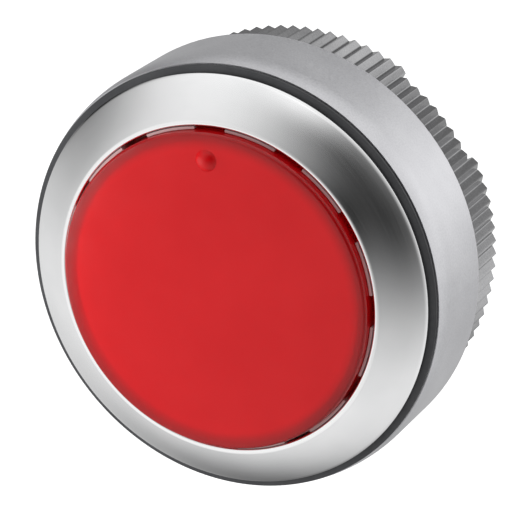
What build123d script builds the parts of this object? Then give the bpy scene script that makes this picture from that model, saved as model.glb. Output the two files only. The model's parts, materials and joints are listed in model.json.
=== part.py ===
from build123d import *
import math
import os

# Round illuminated push button head for a 30.5 mm panel hole. Millimetres.
# The button faces -Y, +Z is up and +Y runs back through the panel.
# The origin is on the button's axis, in the plane of the panel's front face,
# which is the gasket's rear face.

# ---- driving dimensions ----
CLEAR = 0.05            # running clearance on radius, and the gap between faces
PLAY = 0.3              # room between parts that never meet
TRAVEL = 3.0            # stroke of the button

BEZEL_R = 17.5          # outer edge of the front ring
OPENING_R = 13.76       # opening of the front ring
LIP_RISE = 2.4          # the lip stands this far ahead of the ring's back
LIP_W = 0.45
LIP_DEPTH = 0.6         # the opening widens this far behind the lip's front
EDGE_T = 0.3            # thickness of the ring at its outer edge
CROWN_W = 2.2           # the ring's crown passes this far out from the opening
CROWN_DROP = 0.95       # and this far behind the lip
SEAT_W = 0.84           # step for the wiper ring inside the front ring
SEAL_H = 0.6
GASKET_R = 18.15
GASKET_T = 0.35

SLEEVE_R = 15.0         # crest of the M30 thread
SLEEVE_END = 15.45
SLEEVE_CHAMFER = 0.6
BORE_STEP = 0.4         # the bore is narrower ahead of the bush
GROOVE_DEPTH = 0.6      # groove of the snap ring
FLANGE_R = 15.8
FLANGE_T = 0.65
SLOT_Y = 5.25           # front end of the sleeve's key slot
SLOT_W = 3.2
SLOT_DEPTH = 0.9

COLLAR_R = 18.4
COLLAR_L = 7.95
COLLAR_WALL = 1.7
COLLAR_DROP = 0.25      # the collar narrows towards its front edge by this much
COLLAR_EASE = 1.8       # over this length
WEB_T = 2.3             # rear web of the collar
SLIP_T = 0.4            # slip washer with its running gap
KEY_TOP = 1.2           # the collar's key ends this far outside the sleeve

NUT_TIP_R = 17.4
NUT_L = 6.3
TEETH = 96              # knurl teeth round the nut
TOOTH_H = 0.45
NUT_CHAMFER = 0.35
NUT_LEAD = 0.45         # countersink of the nut's bore
SPANNER_NOTCHES = 4     # wide shallow notches in the nut's rear rim
SPANNER_DEG = 30
SPANNER_T = 1.1
NUT_TURN = 48.75        # where the first notch stands, from the top towards +X

LENS_R = 13.45
LENS_PROUD = 0.8        # the cap stands this far ahead of the lip
CAP_T = 0.9             # thickness of the cap's face
CAP_WALL = 0.9
CAP_ROUND = 0.3         # rounding of the cap's front edge
DOT_R = 0.9             # marker dot
DOT_RISE = 0.45
DIFFUSER_T = 0.9
DIFFUSER_RIM = 0.6
FINGERS = 12            # snap fingers of the lens holder
FINGER_T = 0.45
FINGER_RECESS = 0.05    # the fingers end this far behind the lip's front
TIP_T = 0.21            # thin tip of each finger, inside the lip
TIP_L = 0.65
NOTCH_DEG = 11
HOLDER_Y = -0.15        # front face of the holder's base
HOLDER_T = 0.8
SEAL_T = 0.5            # flat seal under the cap's skirt

BARREL_R = 10.0
BARREL_BORE_R = 8.8
BARREL_FLANGE_T = 0.8
GUIDE_L = 5.4           # light guide, with its dome
DOME_RISE = 2.2
FOOT_W = 3.0            # push feet of the plunger
WIRE_D = 0.8            # return spring wire
COILS = 4
WASHER_Y = 7.85
WASHER_T = 0.35
BUSH_R = 12.65
BUSH_L = 4.95
PIN_R = 0.8             # guide key
STOP_T = 0.6
CLIP_DEPTH = 0.4        # the stop ring's groove in the barrel
COVER_T = 1.05
SNAP_T = 0.7
SNAP_GAP = 3.0
PLIER_R = 0.32          # plier holes of the snap ring
PLIER_DEG = 11

SPIGOT_R = 11.9
SPIGOT_END = 19.25
SPIGOT_WALL = 0.95
NECK_DEPTH = 0.3        # groove in front of the spigot's gripped length
LAMP_BORE_R = 8.6
BACK_WALL = 1.2
LATCH_DEG = 45          # latch slots of the spigot, each side of the top
LATCH_W = 2.4
LATCH_DEPTH = 0.45

# ---- derived sizes and positions along Y ----
GASKET_FRONT = -GASKET_T
BEZEL_BACK = GASKET_FRONT - CLEAR
BEZEL_EDGE = BEZEL_BACK - EDGE_T
LIP_Y = BEZEL_BACK - LIP_RISE
FACE_Y = LIP_Y - LENS_PROUD
FLANGE_FRONT = BEZEL_BACK - FLANGE_T
DOT_Z = 0.815 * OPENING_R
HOLDER_R = LENS_R + CLEAR + FINGER_T
FINGER_FRONT = LIP_Y + FINGER_RECESS
RELIEF_R = HOLDER_R + 0.15
SKIRT_END = HOLDER_Y - SEAL_T
BARREL_TOP = HOLDER_Y + HOLDER_T
STEP_Y = BARREL_TOP + TRAVEL + PLAY
BUSH_Y = WASHER_Y + WASHER_T + CLEAR
BUSH_BACK = BUSH_Y + BUSH_L
BORE_R = BUSH_R + CLEAR
STOP_Y = BUSH_BACK + CLEAR
BARREL_END = STOP_Y + STOP_T + 0.6
COVER_Y = BUSH_BACK
SNAP_Y = COVER_Y + COVER_T
COLLAR_Y = CLEAR
COLLAR_BACK = COLLAR_Y + COLLAR_L
NUT_Y = COLLAR_BACK + SLIP_T
NUT_BACK = NUT_Y + NUT_L
KEY_W = SLOT_W - 4 * CLEAR
FOOT_END = SPIGOT_END - 0.6
NECK_R = SPIGOT_R - NECK_DEPTH
NECK_END = SLEEVE_END + 0.2


def turned(points):
    """A ring or disc turned about Y from a closed outline of (radius, y) points."""
    return revolve(make_face(Polyline(*points, close=True)), axis=Axis.Y)


def ring(inner, outer, front, back):
    """A plain ring about Y."""
    return turned([(inner, front), (outer, front), (outer, back), (inner, back)])


def disc(radius, front, back):
    """A plain disc about Y."""
    return turned([(0, front), (radius, front), (radius, back), (0, back)])


def block(x_size, low, high):
    """A block centred on x = 0 between two (y, z) corners."""
    middle = ((low[0] + high[0]) / 2, (low[1] + high[1]) / 2)
    box = Box(x_size, high[0] - low[0], high[1] - low[1])
    return Pos(0, middle[0], middle[1]) * box


def around(shape, degrees):
    """The shape turned about Y, from the top towards +X."""
    return shape.rotate(Axis.Y, degrees)


def sector(inner, outer, front, back, degrees):
    """A stretch of a ring about Y, centred on the top."""
    corners = [(inner, front), (outer, front), (outer, back), (inner, back)]
    section = make_face(Polyline(*corners, close=True))
    stretch = revolve(section, axis=Axis.Y, revolution_arc=degrees)
    return around(stretch, -90 - degrees / 2)


def rounded(shape, radius, picked):
    """Rounds the circular edges that lie at the (radius, y) places picked."""
    chosen = []
    for edge in shape.edges().filter_by(GeomType.CIRCLE):
        for place in picked:
            same_r = abs(edge.radius - place[0]) < 0.01
            same_y = abs(edge.arc_center.Y - place[1]) < 0.01
            if same_r and same_y:
                chosen.append(edge)
    return fillet(chosen, radius)


def front_bezel():
    """Front ring: a crowned cone from the lip down to a thin outer edge."""
    seat_r = OPENING_R + SEAT_W
    seat_back = FLANGE_FRONT - CLEAR
    seat_front = seat_back - SEAL_H
    crown = ThreePointArc(
        (OPENING_R + LIP_W, LIP_Y),
        (OPENING_R + CROWN_W, LIP_Y + CROWN_DROP),
        (BEZEL_R, BEZEL_EDGE),
    )
    rest = Polyline(
        (BEZEL_R, BEZEL_EDGE),
        (BEZEL_R - CLEAR, BEZEL_BACK),
        (FLANGE_R + CLEAR, BEZEL_BACK),
        (FLANGE_R + CLEAR, seat_back),
        (seat_r, seat_back),
        (seat_r, seat_front),
        (RELIEF_R, seat_front),
        (RELIEF_R, LIP_Y + LIP_DEPTH),
        (OPENING_R, LIP_Y + LIP_DEPTH),
        (OPENING_R, LIP_Y),
        (OPENING_R + LIP_W, LIP_Y),
    )
    body = revolve(make_face(crown + rest), axis=Axis.Y)
    return rounded(body, 0.14, [(OPENING_R, LIP_Y), (OPENING_R + LIP_W, LIP_Y)])


def body_sleeve():
    """Sleeve through the panel, with its front flange, bores and key slot."""
    counterbore = HOLDER_R + PLAY
    groove_r = BORE_R + GROOVE_DEPTH
    step_r = BORE_R - BORE_STEP
    body = turned([
        (counterbore, FLANGE_FRONT),
        (FLANGE_R, FLANGE_FRONT),
        (FLANGE_R, BEZEL_BACK),
        (SLEEVE_R, BEZEL_BACK),
        (SLEEVE_R, SLEEVE_END - SLEEVE_CHAMFER),
        (SLEEVE_R - SLEEVE_CHAMFER, SLEEVE_END),
        (BORE_R, SLEEVE_END),
        (BORE_R, SNAP_Y + SNAP_T + CLEAR),
        (groove_r, SNAP_Y + SNAP_T + CLEAR),
        (groove_r, SNAP_Y - CLEAR / 2),
        (BORE_R, SNAP_Y - CLEAR / 2),
        (BORE_R, BUSH_Y),
        (step_r, BUSH_Y),
        (step_r, STEP_Y),
        (counterbore, STEP_Y),
    ])
    slot_floor = SLEEVE_R - SLOT_DEPTH
    slot = block(SLOT_W, (SLOT_Y, slot_floor), (SLEEVE_END + 1, SLEEVE_R + 1))
    return body - slot


def panel_gasket():
    """Flat gasket between the bezel and the panel."""
    body = ring(SLEEVE_R + 2 * CLEAR, GASKET_R, GASKET_FRONT, 0)
    return rounded(body, 0.12, [(GASKET_R, GASKET_FRONT)])


def front_seal():
    """Wiper ring held between bezel and sleeve, its lip just clear of the holder."""
    outer = OPENING_R + SEAT_W - CLEAR
    inner = HOLDER_R + PLAY
    lip_r = HOLDER_R + CLEAR
    lip_t = 0.2
    front = FLANGE_FRONT - SEAL_H
    back = FLANGE_FRONT - CLEAR
    return turned([
        (inner, front),
        (outer, front),
        (outer, back),
        (lip_r, back),
        (lip_r, back - lip_t),
        (inner, back - PLAY),
    ])


def thrust_collar():
    """Smooth clamping ring, hollow from the front, with a keyed rear web."""
    inner = SLEEVE_R + CLEAR
    ease = ThreePointArc(
        (COLLAR_R - COLLAR_DROP, COLLAR_Y),
        (COLLAR_R - COLLAR_DROP / 4, COLLAR_Y + COLLAR_EASE / 2),
        (COLLAR_R, COLLAR_Y + COLLAR_EASE),
    )
    rest = Polyline(
        (COLLAR_R, COLLAR_Y + COLLAR_EASE),
        (COLLAR_R, COLLAR_BACK),
        (inner, COLLAR_BACK),
        (inner, COLLAR_BACK - WEB_T),
        (COLLAR_R - COLLAR_WALL, COLLAR_BACK - WEB_T),
        (COLLAR_R - COLLAR_WALL, COLLAR_Y),
        (COLLAR_R - COLLAR_DROP, COLLAR_Y),
    )
    body = revolve(make_face(ease + rest), axis=Axis.Y)
    body = rounded(body, 0.15, [(COLLAR_R, COLLAR_BACK)])
    low = (COLLAR_BACK - WEB_T - 1, SLEEVE_R - 1)
    high = (COLLAR_BACK + 1, SLEEVE_R + KEY_TOP + CLEAR)
    return body - block(KEY_W + 2 * CLEAR, low, high)


def collar_key():
    """Square key in the collar's web that slides in the sleeve's slot."""
    low = (COLLAR_BACK - WEB_T + CLEAR, SLEEVE_R - SLOT_DEPTH + 2 * CLEAR)
    high = (COLLAR_BACK - CLEAR, SLEEVE_R + KEY_TOP)
    return block(KEY_W, low, high)


def slip_washer():
    """Thin washer that lets the nut turn against the collar."""
    return ring(SLEEVE_R + CLEAR, NUT_TIP_R - 0.9, COLLAR_BACK, NUT_Y - CLEAR)


def ring_nut():
    """Round nut with V-shaped knurl teeth all round and spanner notches in its rear rim."""
    pitch = 2 * math.pi / TEETH
    root_r = NUT_TIP_R - TOOTH_H
    outline = []
    for tooth in range(TEETH):
        start = tooth * pitch
        for share, radius in ((0.0, root_r), (0.06, root_r), (0.47, NUT_TIP_R), (0.59, NUT_TIP_R)):
            angle = start + share * pitch
            outline.append((radius * math.sin(angle), radius * math.cos(angle)))
    rim = make_face(Polyline(*outline, close=True))
    body = extrude(Plane.XZ * rim, -NUT_L)
    body = Pos(0, NUT_Y, 0) * body
    limits = turned([
        (SLEEVE_R + CLEAR, NUT_Y),
        (NUT_TIP_R - NUT_CHAMFER, NUT_Y),
        (NUT_TIP_R + CLEAR, NUT_Y + NUT_CHAMFER),
        (NUT_TIP_R + CLEAR, NUT_BACK - NUT_CHAMFER),
        (NUT_TIP_R - NUT_CHAMFER, NUT_BACK),
        (SLEEVE_R + CLEAR + NUT_LEAD, NUT_BACK),
        (SLEEVE_R + CLEAR, NUT_BACK - NUT_LEAD),
    ])
    body = body & limits
    notch = sector(SLEEVE_R - 1, NUT_TIP_R + 1, NUT_BACK - SPANNER_T, NUT_BACK + 1, SPANNER_DEG)
    for index in range(SPANNER_NOTCHES):
        body = body - around(notch, NUT_TURN + index * 360 / SPANNER_NOTCHES)
    return body


def lens_cap():
    """Cap with a rounded edge, a short skirt and a raised marker dot at the top."""
    body = turned([
        (0, FACE_Y),
        (LENS_R, FACE_Y),
        (LENS_R, SKIRT_END),
        (LENS_R - CAP_WALL, SKIRT_END),
        (LENS_R - CAP_WALL, FACE_Y + CAP_T),
        (0, FACE_Y + CAP_T),
    ])
    body = rounded(body, CAP_ROUND, [(LENS_R, FACE_Y)])
    ball_r = (DOT_R ** 2 + DOT_RISE ** 2) / (2 * DOT_RISE)
    ball = Pos(0, FACE_Y - DOT_RISE + ball_r, DOT_Z) * Sphere(ball_r)
    ahead = Pos(0, FACE_Y - 2, DOT_Z) * Box(6, 4.4, 6)
    return body + (ball & ahead)


def diffuser():
    """Opal disc close behind the cap's face, standing on a short rim."""
    front = FACE_Y + CAP_T + CLEAR
    radius = LENS_R - CAP_WALL - CLEAR
    return turned([
        (0, front),
        (radius, front),
        (radius, HOLDER_Y - CLEAR),
        (radius - DIFFUSER_RIM, HOLDER_Y - CLEAR),
        (radius - DIFFUSER_RIM, front + DIFFUSER_T),
        (0, front + DIFFUSER_T),
    ])


def lens_holder():
    """Carrier of the cap: a base and a wall whose front is cut into snap fingers."""
    wall_in = LENS_R + CLEAR
    tip_r = wall_in + TIP_T
    body = turned([
        (BARREL_BORE_R, HOLDER_Y + HOLDER_T),
        (HOLDER_R, HOLDER_Y + HOLDER_T),
        (HOLDER_R, FINGER_FRONT + TIP_L),
        (tip_r, FINGER_FRONT + TIP_L),
        (tip_r, FINGER_FRONT),
        (wall_in, FINGER_FRONT),
        (wall_in, HOLDER_Y),
        (BARREL_BORE_R + 1.4, HOLDER_Y),
    ])
    notch_w = 2 * HOLDER_R * math.tan(math.radians(NOTCH_DEG / 2))
    low = (FINGER_FRONT - 1, wall_in - 1)
    high = (HOLDER_Y - 0.6, HOLDER_R + 1)
    notch = block(notch_w, low, high)
    for index in range(FINGERS):
        body = body - around(notch, index * 360 / FINGERS)
    return body


def lens_seal():
    """Flat ring under the cap's skirt."""
    return ring(LENS_R - CAP_WALL, LENS_R - CLEAR, SKIRT_END, HOLDER_Y)


def plunger():
    """Barrel with its front flange, key slot, clip groove and two push feet."""
    groove_r = BARREL_R - CLIP_DEPTH
    flange_r = BORE_R - 1.0
    body = turned([
        (BARREL_BORE_R, BARREL_TOP),
        (flange_r, BARREL_TOP),
        (flange_r, BARREL_TOP + BARREL_FLANGE_T),
        (BARREL_R, BARREL_TOP + BARREL_FLANGE_T),
        (BARREL_R, STOP_Y - CLEAR / 2),
        (groove_r, STOP_Y - CLEAR / 2),
        (groove_r, STOP_Y + STOP_T + CLEAR / 2),
        (BARREL_R, STOP_Y + STOP_T + CLEAR / 2),
        (BARREL_R, BARREL_END),
        (BARREL_BORE_R, BARREL_END),
    ])
    key_y = BUSH_Y + BUSH_L / 2
    low = (key_y - TRAVEL - 1.2, BARREL_R - 0.7)
    slot = block(2 * PIN_R + 0.2, low, (key_y + 1.2, BARREL_R + 1))
    feet = block(FOOT_W, (BARREL_END - 0.5, -BARREL_R), (FOOT_END, BARREL_R))
    feet = feet & ring(BARREL_BORE_R + 0.1, BARREL_R - 0.1, BARREL_END - 0.5, FOOT_END)
    return body - slot + around(feet, 90)


def light_guide():
    """Clear puck inside the barrel, domed towards the lamp."""
    radius = BARREL_BORE_R - CLEAR
    front = BARREL_TOP - 0.3
    apex = front + GUIDE_L
    ball_r = (radius ** 2 + DOME_RISE ** 2) / (2 * DOME_RISE)
    ball = Pos(0, apex - ball_r, 0) * Sphere(ball_r)
    return disc(radius, front, apex) & ball


def return_spring():
    """Open coil spring round the barrel, from its flange back to the washer."""
    front = BARREL_TOP + BARREL_FLANGE_T + WIRE_D / 2 + CLEAR
    height = WASHER_Y - CLEAR - WIRE_D / 2 - front
    mean_r = (BARREL_R + BORE_R - BORE_STEP) / 2
    path = Helix(
        pitch=height / COILS,
        height=height,
        radius=mean_r,
        center=(0, front, 0),
        direction=(0, 1, 0),
    )
    section = Plane(origin=path @ 0, z_dir=path % 0) * Circle(WIRE_D / 2)
    return sweep(section, path=path, is_frenet=True)


def spring_washer():
    """Steel seat between the spring and the bush."""
    return ring(BARREL_R + PLAY, BORE_R - BORE_STEP - 2 * CLEAR, WASHER_Y, WASHER_Y + WASHER_T)


def guide_bush():
    """Bearing of the barrel, with a cross hole for the guide key."""
    shoulder_r = BORE_R - BORE_STEP - 2 * CLEAR
    body = turned([
        (BARREL_R + CLEAR, BUSH_Y),
        (shoulder_r, BUSH_Y),
        (shoulder_r, BUSH_Y + CLEAR),
        (BUSH_R, BUSH_Y + CLEAR),
        (BUSH_R, BUSH_BACK - CLEAR),
        (BARREL_R + CLEAR, BUSH_BACK - CLEAR),
    ])
    hole = Pos(0, BUSH_Y + BUSH_L / 2, BARREL_R + 1) * Cylinder(PIN_R + CLEAR / 2, 8)
    return body - hole


def guide_key():
    """Steel pin through the bush into the barrel's slot."""
    length = BUSH_R - 0.1 - (BARREL_R - 0.5)
    middle = BARREL_R - 0.5 + length / 2
    return Pos(0, BUSH_Y + BUSH_L / 2, middle) * Cylinder(PIN_R, length)


def stop_ring():
    """Split ring in the barrel's groove, its stop against the bush."""
    body = ring(BARREL_R - 0.35, SPIGOT_R - 1.0, STOP_Y, STOP_Y + STOP_T)
    gap = block(1.6, (STOP_Y - 1, -SPIGOT_R), (STOP_Y + 2, 0))
    return body - gap


def rear_cover():
    """Cover with the contact holder's spigot, the lamp's bore and two windows for the feet."""
    inner = SPIGOT_R - SPIGOT_WALL
    body = turned([
        (inner, COVER_Y),
        (BUSH_R, COVER_Y),
        (BUSH_R, COVER_Y + COVER_T - CLEAR),
        (NECK_R, COVER_Y + COVER_T - CLEAR),
        (NECK_R, NECK_END),
        (SPIGOT_R, NECK_END),
        (SPIGOT_R, SPIGOT_END - 0.3),
        (SPIGOT_R - 0.3, SPIGOT_END),
        (LAMP_BORE_R, SPIGOT_END),
        (LAMP_BORE_R, SPIGOT_END - BACK_WALL),
        (inner, SPIGOT_END - BACK_WALL),
    ])
    window_r = BARREL_R + PLAY
    window = block(FOOT_W + 0.8, (COVER_Y + 2, -window_r), (SPIGOT_END + 1, window_r))
    for side in (-1, 1):
        low = (NECK_END - 0.5, SPIGOT_R - LATCH_DEPTH)
        latch_slot = block(LATCH_W, low, (SPIGOT_END + 1, SPIGOT_R + 1))
        body = body - around(latch_slot, side * LATCH_DEG)
    return body - around(window, 90)


def retaining_ring():
    """Internal snap ring behind the cover, split at the bottom, with two plier holes."""
    inner = SPIGOT_R + 2 * CLEAR
    outer = BORE_R + GROOVE_DEPTH - CLEAR
    body = ring(inner, outer, SNAP_Y, SNAP_Y + SNAP_T)
    gap = block(SNAP_GAP, (SNAP_Y - 1, -outer - 1), (SNAP_Y + 2, 0))
    body = body - gap
    middle = (inner + outer) / 2
    hole = Pos(0, SNAP_Y, -middle) * Rot(90, 0, 0) * Cylinder(PLIER_R, 4)
    for side in (-1, 1):
        body = body - around(hole, side * PLIER_DEG)
    return body


PARTS = {
    "front_bezel": front_bezel,
    "body_sleeve": body_sleeve,
    "panel_gasket": panel_gasket,
    "front_seal": front_seal,
    "thrust_collar": thrust_collar,
    "collar_key": collar_key,
    "slip_washer": slip_washer,
    "ring_nut": ring_nut,
    "lens_cap": lens_cap,
    "diffuser": diffuser,
    "lens_holder": lens_holder,
    "lens_seal": lens_seal,
    "plunger": plunger,
    "light_guide": light_guide,
    "return_spring": return_spring,
    "spring_washer": spring_washer,
    "guide_bush": guide_bush,
    "guide_key": guide_key,
    "stop_ring": stop_ring,
    "rear_cover": rear_cover,
    "retaining_ring": retaining_ring,
}

os.makedirs("parts", exist_ok=True)
for name, build in PARTS.items():
    export_step(build(), "parts/" + name + ".step")
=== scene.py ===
"""Studio scene of a round illuminated push button head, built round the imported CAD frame.

Lengths are metres. The button faces -Y, +Z is up and every turned piece has its axis on Y.
"""
import json
import math

import bmesh
import bpy
from mathutils import Matrix, Vector


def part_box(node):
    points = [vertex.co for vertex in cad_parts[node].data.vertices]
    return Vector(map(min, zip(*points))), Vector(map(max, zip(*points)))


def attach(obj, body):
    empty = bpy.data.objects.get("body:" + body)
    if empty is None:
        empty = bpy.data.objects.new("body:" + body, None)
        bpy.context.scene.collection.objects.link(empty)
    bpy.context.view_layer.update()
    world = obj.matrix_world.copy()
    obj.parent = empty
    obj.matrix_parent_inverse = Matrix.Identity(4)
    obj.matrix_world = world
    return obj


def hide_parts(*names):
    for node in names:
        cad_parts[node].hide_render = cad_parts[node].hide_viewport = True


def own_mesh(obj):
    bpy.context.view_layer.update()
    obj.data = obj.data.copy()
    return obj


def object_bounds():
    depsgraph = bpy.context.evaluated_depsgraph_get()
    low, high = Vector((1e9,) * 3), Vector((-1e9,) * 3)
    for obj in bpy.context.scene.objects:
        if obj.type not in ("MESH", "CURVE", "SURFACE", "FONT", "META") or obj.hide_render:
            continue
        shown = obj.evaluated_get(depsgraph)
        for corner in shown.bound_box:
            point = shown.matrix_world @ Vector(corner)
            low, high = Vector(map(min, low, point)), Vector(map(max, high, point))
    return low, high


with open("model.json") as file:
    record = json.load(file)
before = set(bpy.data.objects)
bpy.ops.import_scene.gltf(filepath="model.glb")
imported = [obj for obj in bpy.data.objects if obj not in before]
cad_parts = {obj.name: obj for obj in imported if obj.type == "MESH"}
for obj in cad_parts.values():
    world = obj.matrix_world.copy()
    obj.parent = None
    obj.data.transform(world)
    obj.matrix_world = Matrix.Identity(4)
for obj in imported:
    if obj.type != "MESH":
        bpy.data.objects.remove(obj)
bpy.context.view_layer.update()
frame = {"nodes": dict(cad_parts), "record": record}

MM = 0.001


# ---------------------------------------------------------------- measures of the CAD nodes

def radius_of(vertex):
    """Distance of a mesh vertex from the Y axis."""
    return math.hypot(vertex.co.x, vertex.co.z)


def ring_size(node):
    """(inner radius, outer radius, front y, back y) of a turned CAD node."""
    vertices = frame["nodes"][node].data.vertices
    radii = [radius_of(v) for v in vertices]
    depths = [v.co.y for v in vertices]
    return min(radii), max(radii), min(depths), max(depths)


# ---------------------------------------------------------------- camera

CAMERA_AZIMUTH = 26.3
CAMERA_ELEVATION = 20.2
CAMERA_ROLL = 2.1           # degrees, the top of the picture leans to the right
CAMERA_DISTANCE = 236.3 * MM
AIM_RIGHT = 2.19 * MM       # the camera's axis passes this far to the right of the bezel's centre
AIM_UP = 2.13 * MM          # and this far above it
AIM_AHEAD = 0.2 * MM        # in a plane this far ahead of the bezel's back
FIELD_OF_VIEW = 9.97        # degrees, a long lens


def make_camera():
    """Long-lens camera to the right of the button and above it."""
    azimuth = math.radians(CAMERA_AZIMUTH)
    elevation = math.radians(CAMERA_ELEVATION)
    roll = math.radians(CAMERA_ROLL)
    back = Vector((
        math.sin(azimuth) * math.cos(elevation),
        -math.cos(azimuth) * math.cos(elevation),
        math.sin(elevation),
    ))
    level = Vector((math.cos(azimuth), math.sin(azimuth), 0))
    upright = back.cross(level)
    right = level * math.cos(roll) - upright * math.sin(roll)
    up = upright * math.cos(roll) + level * math.sin(roll)
    aim_y = ring_size("front_bezel")[3] - AIM_AHEAD
    target = Vector((0, aim_y, 0)) + right * AIM_RIGHT + up * AIM_UP
    data = bpy.data.cameras.new("camera")
    data.angle = math.radians(FIELD_OF_VIEW)
    data.clip_end = 20
    camera = bpy.data.objects.new("camera", data)
    camera.location = target + back * CAMERA_DISTANCE
    camera.rotation_mode = "QUATERNION"
    camera.rotation_quaternion = Matrix((right, up, back)).transposed().to_quaternion()
    bpy.context.scene.collection.objects.link(camera)
    bpy.context.scene.camera = camera


# ---------------------------------------------------------------- mesh tools

TURN_STEPS = 256
WELD = 1e-7


def rounded(outline, steps=5):
    """A closed outline of (radius, y, rounding) points with its corners turned into arcs."""
    points = []
    count = len(outline)
    for index, (radius, y, rounding) in enumerate(outline):
        here = Vector((radius, y))
        if rounding <= 0:
            points.append(here)
            continue
        before = Vector(outline[index - 1][:2]) - here
        after = Vector(outline[(index + 1) % count][:2]) - here
        half = before.angle(after) / 2
        reach = min(rounding / math.tan(half), 0.49 * before.length, 0.49 * after.length)
        size = reach * math.tan(half)
        start = here + before.normalized() * reach
        end = here + after.normalized() * reach
        centre = here + (before.normalized() + after.normalized()).normalized() * (size / math.sin(half))
        first = start - centre
        last = end - centre
        turn = first.angle_signed(last)
        for step in range(steps + 1):
            angle = -turn * step / steps
            cosine = math.cos(angle)
            sine = math.sin(angle)
            spoke = Vector((first.x * cosine - first.y * sine, first.x * sine + first.y * cosine))
            points.append(centre + spoke)
    return points


def arc_between(start, middle, end, steps):
    """Points along the circle through three (radius, y) points."""
    (x1, y1), (x2, y2), (x3, y3) = start, middle, end
    det = 2 * (x1 * (y2 - y3) + x2 * (y3 - y1) + x3 * (y1 - y2))
    s1, s2, s3 = x1 * x1 + y1 * y1, x2 * x2 + y2 * y2, x3 * x3 + y3 * y3
    cx = (s1 * (y2 - y3) + s2 * (y3 - y1) + s3 * (y1 - y2)) / det
    cy = (s1 * (x3 - x2) + s2 * (x1 - x3) + s3 * (x2 - x1)) / det
    radius = math.hypot(x1 - cx, y1 - cy)
    first = math.atan2(y1 - cy, x1 - cx)
    last = math.atan2(y3 - cy, x3 - cx)
    return [
        (cx + radius * math.cos(first + (last - first) * k / steps),
         cy + radius * math.sin(first + (last - first) * k / steps))
        for k in range(steps + 1)
    ]


def finish_mesh(name, work, crease=32):
    """Turns a bmesh into a linked object with outward normals, smooth but for its creases."""
    bmesh.ops.recalc_face_normals(work, faces=work.faces)
    mesh = bpy.data.meshes.new(name)
    work.to_mesh(mesh)
    work.free()
    mesh.shade_smooth()
    mesh.set_sharp_from_angle(angle=math.radians(crease))
    piece = bpy.data.objects.new(name, mesh)
    bpy.context.scene.collection.objects.link(piece)
    return piece


def weave(name, columns, crease=32):
    """A closed solid from columns of (x, y, z) points round the Y axis, the last one joined to the first."""
    work = bmesh.new()
    made = [[work.verts.new(point) for point in column] for column in columns]
    count = len(columns[0])
    for index, here in enumerate(made):
        there = made[(index + 1) % len(made)]
        for row in range(count):
            follow = (row + 1) % count
            work.faces.new((here[row], here[follow], there[follow], there[row]))
    bmesh.ops.remove_doubles(work, verts=work.verts, dist=WELD)
    bmesh.ops.dissolve_degenerate(work, edges=work.edges, dist=WELD)
    return finish_mesh(name, work, crease)


def spun(outline, angle):
    """The (radius, y) outline at an angle from the top towards +X."""
    return [(point[0] * math.sin(angle), point[1], point[0] * math.cos(angle)) for point in outline]


def lathe(name, outline, steps=TURN_STEPS, crease=32):
    """A solid turned about Y from a closed outline of (radius, y) points."""
    columns = [spun(outline, 2 * math.pi * step / steps) for step in range(steps)]
    return weave(name, columns, crease)


def stand_in(piece, body, node):
    """The piece rides on a body and is shown in place of a CAD node."""
    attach(piece, body)
    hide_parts(node)
    return piece


# ---------------------------------------------------------------- material tools

def new_material(name):
    """(material, its nodes, its links, its shader)."""
    material = bpy.data.materials.new(name)
    material.use_nodes = True
    nodes = material.node_tree.nodes
    return material, nodes, material.node_tree.links, nodes["Principled BSDF"]


def object_noise(nodes, links, scale, detail):
    """A noise texture fixed to the object, in features per metre."""
    place = nodes.new("ShaderNodeTexCoord")
    noise = nodes.new("ShaderNodeTexNoise")
    noise.inputs["Scale"].default_value = scale
    noise.inputs["Detail"].default_value = detail
    links.new(place.outputs["Object"], noise.inputs["Vector"])
    return noise.outputs["Fac"]


RADIAN_SPAN = 0.5 * MM      # a radian round the axis counts as this length in the noise


def lathe_noise(nodes, links, scale, detail):
    """Noise drawn out round the Y axis, as turning and polishing leave it."""
    place = nodes.new("ShaderNodeTexCoord")
    split = nodes.new("ShaderNodeSeparateXYZ")
    flat = nodes.new("ShaderNodeCombineXYZ")
    length = nodes.new("ShaderNodeVectorMath")
    length.operation = "LENGTH"
    angle = nodes.new("ShaderNodeMath")
    angle.operation = "ARCTAN2"
    turn = nodes.new("ShaderNodeMath")
    turn.operation = "MULTIPLY"
    turn.inputs[1].default_value = RADIAN_SPAN
    join = nodes.new("ShaderNodeCombineXYZ")
    noise = nodes.new("ShaderNodeTexNoise")
    noise.inputs["Scale"].default_value = scale
    noise.inputs["Detail"].default_value = detail
    links.new(place.outputs["Object"], split.inputs[0])
    links.new(split.outputs["X"], flat.inputs["X"])
    links.new(split.outputs["Z"], flat.inputs["Y"])
    links.new(flat.outputs[0], length.inputs[0])
    links.new(split.outputs["X"], angle.inputs[0])
    links.new(split.outputs["Z"], angle.inputs[1])
    links.new(angle.outputs[0], turn.inputs[0])
    links.new(length.outputs["Value"], join.inputs["X"])
    links.new(split.outputs["Y"], join.inputs["Y"])
    links.new(turn.outputs[0], join.inputs["Z"])
    links.new(join.outputs[0], noise.inputs["Vector"])
    return noise.outputs["Fac"]


def ramp(nodes, links, source, low, high):
    """The source's 0.3 to 0.7 stretch mapped to low to high."""
    spread = nodes.new("ShaderNodeMapRange")
    spread.inputs["From Min"].default_value = 0.3
    spread.inputs["From Max"].default_value = 0.7
    spread.inputs["To Min"].default_value = low
    spread.inputs["To Max"].default_value = high
    links.new(source, spread.inputs["Value"])
    return spread.outputs["Result"]


def tint(nodes, links, source, dark, light):
    """A colour between dark and light, led by the source."""
    colours = nodes.new("ShaderNodeValToRGB")
    colours.color_ramp.elements[0].position = 0.3
    colours.color_ramp.elements[0].color = (*dark, 1)
    colours.color_ramp.elements[1].position = 0.7
    colours.color_ramp.elements[1].color = (*light, 1)
    links.new(source, colours.inputs["Fac"])
    return colours.outputs["Color"]


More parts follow.
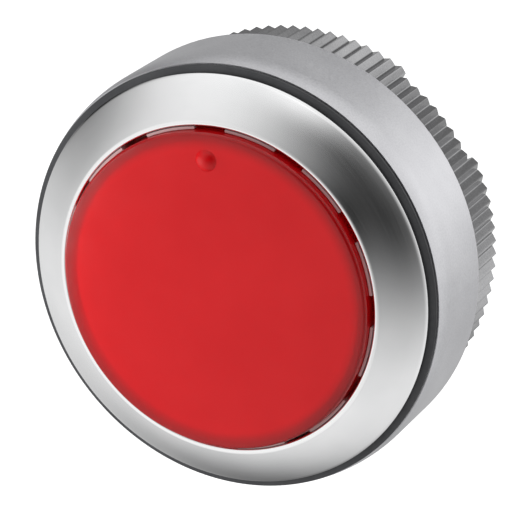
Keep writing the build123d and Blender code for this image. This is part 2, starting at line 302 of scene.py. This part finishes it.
def add_bump(nodes, links, shader, source, height):
    """A bump of that height in metres."""
    bump = nodes.new("ShaderNodeBump")
    bump.inputs["Strength"].default_value = 1.0
    bump.inputs["Distance"].default_value = height
    links.new(source, bump.inputs["Height"])
    links.new(bump.outputs["Normal"], shader.inputs["Normal"])


def axis_distance(nodes, links):
    """Distance of the shaded point from the object's Y axis."""
    place = nodes.new("ShaderNodeTexCoord")
    flat = nodes.new("ShaderNodeVectorMath")
    flat.operation = "MULTIPLY"
    flat.inputs[1].default_value = (1, 0, 1)
    length = nodes.new("ShaderNodeVectorMath")
    length.operation = "LENGTH"
    links.new(place.outputs["Object"], flat.inputs[0])
    links.new(flat.outputs["Vector"], length.inputs[0])
    return length.outputs["Value"]


# ---------------------------------------------------------------- materials

LIP_EDGE = 14.15 * MM       # the lip's painted highlight ends here
LIP_FADE = 0.1 * MM


def satin_chrome():
    """Satin plated ring: soft reflections, a trace of turning round the axis, a lip painted lighter as a
    painted highlight.
    """
    material, nodes, links, shader = new_material("satin_chrome")
    shader.inputs["Metallic"].default_value = 1.0
    cloud = object_noise(nodes, links, 260, 3)
    lines = lathe_noise(nodes, links, 9000, 3)
    satin = tint(nodes, links, cloud, (0.82, 0.825, 0.83), (0.87, 0.87, 0.875))
    off_lip = nodes.new("ShaderNodeMapRange")
    off_lip.inputs["From Min"].default_value = LIP_EDGE
    off_lip.inputs["From Max"].default_value = LIP_EDGE + LIP_FADE
    links.new(axis_distance(nodes, links), off_lip.inputs["Value"])
    # painted highlight: the flat lip gets a lighter base colour than the satin so it reads bright all round
    painted_lip_highlight = nodes.new("ShaderNodeMix")
    painted_lip_highlight.data_type = "RGBA"
    painted_lip_highlight.inputs["A"].default_value = (0.93, 0.93, 0.93, 1)
    links.new(off_lip.outputs["Result"], painted_lip_highlight.inputs["Factor"])
    links.new(satin, painted_lip_highlight.inputs["B"])
    links.new(painted_lip_highlight.outputs["Result"], shader.inputs["Base Color"])
    links.new(ramp(nodes, links, lines, 0.14, 0.20), shader.inputs["Roughness"])
    add_bump(nodes, links, shader, lines, 0.6e-6)
    return material


def blasted_metal(name, dark, light, rough, height=1e-5):
    """Matt silver metal with a fine blasted grain of that height."""
    material, nodes, links, shader = new_material(name)
    shader.inputs["Metallic"].default_value = 1.0
    grain = object_noise(nodes, links, 6500, 2)
    cloud = object_noise(nodes, links, 170, 4)
    speckle = nodes.new("ShaderNodeMath")
    speckle.operation = "MULTIPLY_ADD"
    speckle.inputs[1].default_value = 0.6
    links.new(grain, speckle.inputs[0])
    links.new(ramp(nodes, links, cloud, 0.1, 0.3), speckle.inputs[2])
    links.new(tint(nodes, links, speckle.outputs[0], dark, light), shader.inputs["Base Color"])
    links.new(ramp(nodes, links, grain, *rough), shader.inputs["Roughness"])
    add_bump(nodes, links, shader, grain, height)
    return material


def spring_steel():
    """Drawn and rolled steel with a fine grain."""
    material, nodes, links, shader = new_material("spring_steel")
    shader.inputs["Metallic"].default_value = 1.0
    grain = object_noise(nodes, links, 3800, 3)
    steel = tint(nodes, links, grain, (0.36, 0.36, 0.37), (0.52, 0.52, 0.53))
    links.new(steel, shader.inputs["Base Color"])
    links.new(ramp(nodes, links, grain, 0.26, 0.42), shader.inputs["Roughness"])
    add_bump(nodes, links, shader, grain, 2e-6)
    return material


def moulded_plastic(name, dark, light, rough=(0.38, 0.5)):
    """Moulded plastic with a fine spark-eroded grain."""
    material, nodes, links, shader = new_material(name)
    grain = object_noise(nodes, links, 2600, 3)
    cloud = object_noise(nodes, links, 220, 3)
    links.new(tint(nodes, links, cloud, dark, light), shader.inputs["Base Color"])
    links.new(ramp(nodes, links, grain, *rough), shader.inputs["Roughness"])
    add_bump(nodes, links, shader, grain, 5e-6)
    return material


CLEAR_FROM = 11.9 * MM      # the cap grows clear from here
CLEAR_TO = 13.2 * MM        # to here


def red_lens():
    """Red cap, polished, with a faint ripple: translucent over the diffuser, clear at its border."""
    material, nodes, links, shader = new_material("red_lens")
    shader.inputs["IOR"].default_value = 1.49
    shader.inputs["Specular IOR Level"].default_value = 0.06
    border = nodes.new("ShaderNodeMapRange")
    border.interpolation_type = "SMOOTHSTEP"
    border.inputs["From Min"].default_value = CLEAR_FROM
    border.inputs["From Max"].default_value = CLEAR_TO
    border.inputs["To Min"].default_value = 0.45
    border.inputs["To Max"].default_value = 0.68
    links.new(axis_distance(nodes, links), border.inputs["Value"])
    links.new(border.outputs["Result"], shader.inputs["Transmission Weight"])
    cloud = object_noise(nodes, links, 180, 2)
    red = tint(nodes, links, cloud, (0.94, 0.008, 0.014), (0.98, 0.012, 0.018))
    links.new(red, shader.inputs["Base Color"])
    ripple = object_noise(nodes, links, 700, 2)
    links.new(ramp(nodes, links, ripple, 0.10, 0.16), shader.inputs["Roughness"])
    add_bump(nodes, links, shader, ripple, 1.5e-6)
    return material


def clear_plastic():
    """Clear acrylic of the light guide."""
    material, nodes, links, shader = new_material("clear_plastic")
    shader.inputs["Transmission Weight"].default_value = 1.0
    shader.inputs["IOR"].default_value = 1.49
    cloud = object_noise(nodes, links, 300, 2)
    clear = tint(nodes, links, cloud, (0.90, 0.93, 0.95), (0.95, 0.97, 0.98))
    links.new(clear, shader.inputs["Base Color"])
    links.new(ramp(nodes, links, cloud, 0.05, 0.12), shader.inputs["Roughness"])
    return material


MATERIALS = {
    "satin_metal": satin_chrome(),
    "matt_metal": blasted_metal("blasted_metal", (0.53, 0.53, 0.55), (0.70, 0.70, 0.72), (0.34, 0.48)),
    "turned_metal": blasted_metal(
        "turned_metal", (0.18, 0.18, 0.185), (0.29, 0.29, 0.295), (0.14, 0.24), 3e-6),
    "cast_metal": blasted_metal("cast_metal", (0.52, 0.52, 0.53), (0.60, 0.60, 0.61), (0.35, 0.5)),
    "seal_rubber": moulded_plastic(
        "seal_rubber", (0.045, 0.046, 0.05), (0.065, 0.066, 0.07), (0.6, 0.75)),
    "pale_silicone": moulded_plastic(
        "pale_silicone", (0.66, 0.63, 0.60), (0.76, 0.73, 0.70), (0.5, 0.65)),
    "red_lens": red_lens(),
    "opal_plastic": moulded_plastic("opal_plastic", (0.93, 0.91, 0.89), (0.97, 0.95, 0.93)),
    "white_plastic": moulded_plastic("white_plastic", (0.68, 0.65, 0.62), (0.76, 0.73, 0.70)),
    # painted light: the holder's white plastic, tinted pink as painted red glow from the cap and darkened as
    # painted shade in the gap
    "glow_and_shade_painted_plastic": moulded_plastic("glow_and_shade_painted_plastic", (0.52, 0.36, 0.36), (0.62, 0.45, 0.45)),
    "clear_plastic": clear_plastic(),
    "grey_plastic": moulded_plastic("grey_plastic", (0.27, 0.28, 0.29), (0.33, 0.34, 0.35)),
    "black_plastic": moulded_plastic(
        "black_plastic", (0.018, 0.018, 0.02), (0.032, 0.032, 0.034), (0.36, 0.52)),
    "steel": spring_steel(),
}


def dress(piece, slot):
    """Gives the piece the one material of a slot."""
    piece.data.materials.clear()
    piece.data.materials.append(MATERIALS[slot])
    return piece


# ---------------------------------------------------------------- pieces

LIP_W = 0.34 * MM           # front ring
LIP_DEPTH = 0.6 * MM
CROWN_W = 2.2 * MM
CROWN_DROP = 0.95 * MM
RIM_T = 0.34 * MM
SEAT_R = 15.85 * MM
SEAT_DEPTH = 0.7 * MM
WALL = 0.84 * MM
WALL_DEPTH = 1.3 * MM
CAP_T = 0.9 * MM            # red cap
CAP_WALL = 0.9 * MM
CAP_ROUND = 0.3 * MM
DOT_R = 0.9 * MM
DOT_RISE = 0.45 * MM
DOT_PLACE = 0.815           # of the opening's radius
GASKET_SHY = 0.1 * MM       # gasket
TEETH = 96                  # knurled nut
TOOTH_H = 0.45 * MM
END_CONE = 0.35 * MM
BORE_CONE = 0.45 * MM
SPANNER_NOTCHES = 4
SPANNER_TEETH = 8
SPANNER_T = 1.1 * MM
NUT_TURN = 48.75
SLEEVE_R = 15.0 * MM        # sleeve
THREAD_PITCH = 1.5 * MM
THREAD_DEPTH = 0.613        # of the pitch
THREAD_FRONT = 4.65 * MM
END_CHAMFER = 0.6 * MM
FLANGE_T = 0.65 * MM
SLOT_W = 3.2 * MM
SLOT_FRONT = 5.25 * MM
BORE_STEP = 0.4 * MM
GROOVE_DEPTH = 0.6 * MM
PLAY = 0.3 * MM
WIRE_R = 0.4 * MM           # return spring
SPRING_ACTIVE = 3
STROKE = 3.0 * MM


def bezel_piece():
    """Front ring: flat lip, lit by a painted highlight in its material, crowned slope, thin rounded edge."""
    opening, rim, front, back = ring_size("front_bezel")
    crown = arc_between(
        (opening + LIP_W, front + 0.02 * MM),
        (opening + CROWN_W, front + CROWN_DROP),
        (rim - 0.02 * MM, back - RIM_T),
        30,
    )[:-1]
    inner_wall = opening + WALL
    relief = ring_size("lens_holder")[1] + 0.15 * MM
    outline = [(x, y, 0) for x, y in crown]
    outline += [
        (rim, back - 0.26 * MM, 0.12 * MM),
        (rim - 0.03 * MM, back, 0.03 * MM),
        (SEAT_R, back, 0),
        (SEAT_R, back - SEAT_DEPTH, 0),
        (inner_wall, back - SEAT_DEPTH, 0),
        (inner_wall, back - WALL_DEPTH, 0),
        (relief, back - WALL_DEPTH, 0.05 * MM),
        (relief, front + LIP_DEPTH, 0),
        (opening, front + LIP_DEPTH, 0.03 * MM),
        (opening, front, 0.16 * MM),
    ]
    piece = lathe("bezel_ring", rounded(outline), 384)
    return stand_in(dress(piece, "satin_metal"), "housing", "front_bezel")


def lens_piece():
    """Red cap with a rounded edge, its skirt and the raised marker dot."""
    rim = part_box("lens_cap")[1].x
    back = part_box("lens_cap")[1].y
    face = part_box("lens_cap")[0].y + DOT_RISE
    outline = rounded([
        (0, face, 0),
        (rim - 1.2 * MM, face, 0),
        (rim, face, CAP_ROUND),
        (rim, back, 0.06 * MM),
        (rim - CAP_WALL, back, 0.06 * MM),
        (rim - CAP_WALL, face + CAP_T, 0.15 * MM),
        (0, face + CAP_T, 0),
    ], 8)
    piece = lathe("red_cap", outline)
    ball_r = (DOT_R ** 2 + DOT_RISE ** 2) / (2 * DOT_RISE)
    work = bmesh.new()
    bmesh.ops.create_uvsphere(work, u_segments=64, v_segments=48, radius=ball_r)
    quarter = Matrix.Rotation(math.radians(90), 4, "X")
    dot_z = DOT_PLACE * ring_size("front_bezel")[0]
    move = Matrix.Translation((0, face - DOT_RISE + ball_r, dot_z))
    bmesh.ops.transform(work, verts=work.verts, matrix=move @ quarter)
    cut = bmesh.ops.bisect_plane(
        work,
        geom=work.verts[:] + work.edges[:] + work.faces[:],
        plane_co=(0, face + CAP_T / 2, 0),
        plane_no=(0, 1, 0),
        clear_outer=True,
    )
    edges = [part for part in cut["geom_cut"] if isinstance(part, bmesh.types.BMEdge)]
    bmesh.ops.contextual_create(work, geom=edges)
    ball = finish_mesh("dot_tool", work)
    union = piece.modifiers.new("dot", "BOOLEAN")
    union.operation = "UNION"
    union.solver = "EXACT"
    union.object = ball
    bpy.context.view_layer.update()
    evaluated = piece.evaluated_get(bpy.context.evaluated_depsgraph_get())
    solid = bpy.data.meshes.new_from_object(evaluated)
    piece.modifiers.clear()
    piece.data = solid
    bpy.data.objects.remove(ball)
    solid.shade_smooth()
    solid.set_sharp_from_angle(angle=math.radians(32))
    return stand_in(dress(piece, "red_lens"), "button", "lens_cap")


def gasket_piece():
    """Thin flat gasket with a rounded outer edge, pressed in a little behind the collar's."""
    inner, outer, front, back = ring_size("panel_gasket")
    outer -= GASKET_SHY
    outline = rounded([
        (inner, front, 0.03 * MM),
        (outer, front, 0.13 * MM),
        (outer, back, 0.09 * MM),
        (inner, back, 0.03 * MM),
    ])
    piece = lathe("gasket_ring", outline)
    return stand_in(dress(piece, "seal_rubber"), "housing", "panel_gasket")


def nut_piece():
    """Knurled nut: V teeth with softened crests and roots, and spanner notches in its rear rim."""
    inner, tip, front, back = ring_size("ring_nut")
    root = tip - TOOTH_H
    cone = tip - END_CONE
    notch_y = back - SPANNER_T
    pitch = 2 * math.pi / TEETH
    soft = 0.03 * MM
    tooth = [
        (0.00, root), (0.05, root + soft / 2), (0.09, root + 2 * soft),
        (0.40, tip - 3 * soft), (0.45, tip - soft), (0.50, tip), (0.55, tip - soft), (0.60, tip - 3 * soft),
        (0.91, root + 2 * soft), (0.95, root + soft / 2),
    ]
    quadrant = TEETH // SPANNER_NOTCHES
    first = round(math.radians(NUT_TURN) / pitch - SPANNER_TEETH / 2)

    def profile(radius, rear):
        cut = max(radius - cone, 0.03 * MM)
        return [
            (inner, front), (radius - cut, front), (radius, front + cut),
            (radius, notch_y - cut), (radius, rear - cut), (radius - cut, rear),
            (inner + BORE_CONE, rear), (inner, rear - BORE_CONE), (inner, notch_y - BORE_CONE),
        ]

    columns = []
    for index in range(TEETH):
        place = (index - first) % quadrant
        notched = place < SPANNER_TEETH
        for share, radius in tooth:
            angle = (index + share) * pitch
            rear = notch_y if notched else back
            if share == 0 and place in (0, SPANNER_TEETH):
                before = back if notched else notch_y
                columns.append(spun(profile(radius, before), angle))
            columns.append(spun(profile(radius, rear), angle))
    piece = weave("knurled_ring", columns, 35)
    return stand_in(dress(piece, "turned_metal"), "knurled_nut", "ring_nut")


def sleeve_piece():
    """Sleeve with its M30 x 1.5 thread, key slot, flange and stepped bores."""
    crest = SLEEVE_R
    flange, front, back = ring_size("body_sleeve")[1:]
    root = crest - THREAD_DEPTH * THREAD_PITCH
    start = THREAD_FRONT
    turns = math.ceil((back - start) / THREAD_PITCH) + 1
    ridge = [(0.0, root), (0.167, root), (0.52, crest), (0.647, crest)]
    shoulder = front + FLANGE_T
    bore = ring_size("guide_bush")[1] + 0.05 * MM
    groove = bore + GROOVE_DEPTH
    snap_front = ring_size("retaining_ring")[2] - 0.025 * MM
    snap_back = ring_size("retaining_ring")[3] + 0.05 * MM
    seat = ring_size("guide_bush")[2]
    mouth = ring_size("lens_holder")[1] + PLAY
    step = ring_size("lens_holder")[3] + STROKE + PLAY
    inside = [
        (bore, back), (bore, snap_back), (groove, snap_back), (groove, snap_front), (bore, snap_front),
        (bore, seat), (bore - BORE_STEP, seat), (bore - BORE_STEP, step), (mouth, step), (mouth, front),
    ]
    slot_edge = math.degrees(math.asin(SLOT_W / 2 / crest))
    degrees = [360 * step / 192 for step in range(193)]
    for side in (slot_edge, 360 - slot_edge):
        degrees += [side - 0.03, side + 0.03]
    columns = []
    for degree in sorted(degrees):
        angle = math.radians(degree)
        in_slot = min(degree, 360 - degree) < slot_edge
        column = [(flange, front), (flange, shoulder), (crest, shoulder)]
        column += [(crest, start - 0.2 * MM), (root, start)]
        for turn in range(turns):
            for phase, radius in ridge:
                y = start + THREAD_PITCH * (turn + phase + degree / 360 - 1)
                if y <= start or y >= back:
                    column.append((root, min(max(y, start), back)))
                    continue
                radius = min(radius, crest - max(0, y - back + END_CHAMFER))
                if in_slot and y > SLOT_FRONT:
                    radius = min(radius, root)
                column.append((radius, y))
        column += [(root, back)] + inside
        columns.append(spun(column, angle))
    piece = weave("threaded_sleeve", columns, 25)
    return stand_in(dress(piece, "cast_metal"), "housing", "body_sleeve")


def spring_piece():
    """Return spring with a closed turn at each end, filling the CAD spring's length."""
    low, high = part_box("return_spring")
    wire = WIRE_R
    mean = high.x - wire
    length = high.y - low.y
    dead = 2.05 * wire
    active = (length - 2 * wire - 2 * dead) / SPRING_ACTIVE
    turns = SPRING_ACTIVE + 2
    steps = 72 * turns
    around = 14
    work = bmesh.new()
    hoops = []
    for step in range(steps + 1):
        turn = turns * step / steps
        y = low.y + wire + dead * min(turn, 1) + dead * max(turn - turns + 1, 0)
        y += active * min(max(turn - 1, 0), SPRING_ACTIVE)
        angle = 2 * math.pi * turn
        hoop = []
        for spoke in range(around):
            swing = 2 * math.pi * spoke / around
            radius = mean + wire * math.cos(swing)
            hoop.append(work.verts.new((
                radius * math.sin(angle), y + wire * math.sin(swing), radius * math.cos(angle))))
        hoops.append(hoop)
    for here, there in zip(hoops, hoops[1:]):
        for spoke in range(around):
            follow = (spoke + 1) % around
            work.faces.new((here[spoke], here[follow], there[follow], there[spoke]))
    work.faces.new(hoops[0])
    work.faces.new(hoops[-1])
    piece = finish_mesh("coil_spring", work, 50)
    stand_in(dress(piece, "steel"), "housing", "return_spring")
    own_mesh(piece)


def dress_frame():
    """Procedural finishes for the CAD nodes that stay; the cap's red glow and the shade in the gap are
    painted into its holder's colour.
    """
    slots = {part["node"]: part["material_slot"] for part in frame["record"]["subparts"]}
    for node, piece in frame["nodes"].items():
        dress(piece, slots[node])
    # the white holder gets painted red glow and painted shade in place of its own white
    dress(frame["nodes"]["lens_holder"], "glow_and_shade_painted_plastic")


# ---------------------------------------------------------------- studio

# soft lobes of the studio: (azimuth, elevation, brightness, tightness); azimuth 0 is in front of
# the button and grows to its right
STUDIO_BASE = 1.4
STUDIO_LOBES = {
    "dark_room_behind_camera": (46, 6, -1.27, 4),
    "dark_room_above_camera": (18, 40, -0.69, 12),
    "dark_room_ahead": (2, 0, -0.83, 13),
    "dim_left_wall": (-111, 20, -1.45, 11),
    "dim_left_front": (-69, 10, -0.76, 10),
    "shade_under_button": (-134, -68, -1.2, 5),
    "overhead_strip": (15, 55, 0.76, 35),
    "rear_right_softbox": (149, 11, 1.1, 30),
    "dark_room_behind": (-170, 14, -1.05, 6),
    "shade_rear_right": (154, -25, -0.4, 20),
}


def direction(azimuth, elevation):
    """Unit vector towards an azimuth and elevation in degrees."""
    a = math.radians(azimuth)
    e = math.radians(elevation)
    return (math.sin(a) * math.cos(e), -math.cos(a) * math.cos(e), math.sin(e))


def make_studio():
    """World of soft lobes, plain white where the camera sees it."""
    world = bpy.data.worlds.new("studio")
    bpy.context.scene.world = world
    world.use_nodes = True
    nodes = world.node_tree.nodes
    links = world.node_tree.links
    nodes.clear()
    place = nodes.new("ShaderNodeTexCoord")
    total = None
    for name, (azimuth, elevation, amount, tightness) in STUDIO_LOBES.items():
        facing = nodes.new("ShaderNodeVectorMath")
        facing.operation = "DOT_PRODUCT"
        facing.inputs[1].default_value = direction(azimuth, elevation)
        links.new(place.outputs["Generated"], facing.inputs[0])
        fall = nodes.new("ShaderNodeMath")
        fall.operation = "MULTIPLY_ADD"
        fall.inputs[1].default_value = tightness
        fall.inputs[2].default_value = -tightness
        links.new(facing.outputs["Value"], fall.inputs[0])
        lobe = nodes.new("ShaderNodeMath")
        lobe.operation = "EXPONENT"
        links.new(fall.outputs[0], lobe.inputs[0])
        add = nodes.new("ShaderNodeMath")
        add.name = name
        add.operation = "MULTIPLY_ADD"
        add.inputs[1].default_value = amount
        add.inputs[2].default_value = STUDIO_BASE
        links.new(lobe.outputs[0], add.inputs[0])
        if total is not None:
            links.new(total, add.inputs[2])
        total = add.outputs[0]
    floor_value = nodes.new("ShaderNodeMath")
    floor_value.operation = "MAXIMUM"
    floor_value.inputs[1].default_value = 0.02
    links.new(total, floor_value.inputs[0])
    light = nodes.new("ShaderNodeBackground")
    links.new(floor_value.outputs[0], light.inputs["Strength"])
    backdrop = nodes.new("ShaderNodeBackground")
    backdrop.inputs["Color"].default_value = (1, 1, 1, 1)
    rays = nodes.new("ShaderNodeLightPath")
    mix = nodes.new("ShaderNodeMixShader")
    out = nodes.new("ShaderNodeOutputWorld")
    links.new(rays.outputs["Is Camera Ray"], mix.inputs["Fac"])
    links.new(light.outputs[0], mix.inputs[1])
    links.new(backdrop.outputs[0], mix.inputs[2])
    links.new(mix.outputs[0], out.inputs["Surface"])


FILL_POWER = 0.043
FILL_SIZE = 60 * MM
FILL_DISTANCE = 80 * MM
FILL_FROM = (-56, -4)       # azimuth, elevation


def make_fill():
    """Soft fill from the left that only lights the matt and translucent parts."""
    data = bpy.data.lights.new("fill", "AREA")
    data.shape = "DISK"
    data.size = FILL_SIZE
    data.energy = FILL_POWER
    fill = bpy.data.objects.new("fill", data)
    aim = Vector(direction(*FILL_FROM))
    fill.location = aim * FILL_DISTANCE
    fill.rotation_mode = "QUATERNION"
    fill.rotation_quaternion = aim.to_track_quat("Z", "Y")
    fill.visible_glossy = False
    fill.visible_camera = False
    bpy.context.scene.collection.objects.link(fill)


FLOOR_DROP = 60 * MM
FLOOR_SIZE = 2.2


def make_floor():
    """Plain white floor, well below the button, that leaves the studio's reflections alone."""
    low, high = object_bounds()
    work = bmesh.new()
    bmesh.ops.create_grid(work, x_segments=8, y_segments=8, size=FLOOR_SIZE)
    bmesh.ops.translate(work, verts=work.verts, vec=(0, 0, low.z - FLOOR_DROP))
    floor = finish_mesh("floor", work)
    material, nodes, links, shader = new_material("floor_white")
    shader.inputs["Base Color"].default_value = (0.93, 0.93, 0.93, 1)
    shader.inputs["Roughness"].default_value = 0.9
    shader.inputs["Emission Color"].default_value = (1, 1, 1, 1)
    shader.inputs["Emission Strength"].default_value = 0.45
    floor.data.materials.append(material)
    floor.visible_glossy = False
    floor.visible_diffuse = False
    floor.visible_transmission = False


# ---------------------------------------------------------------- the scene

make_camera()
make_studio()
make_fill()
make_floor()
dress_frame()
bezel_piece()
gasket_piece()
lens_piece()
nut_piece()
sleeve_piece()
spring_piece()

bpy.context.scene.view_settings.view_transform = "Standard"
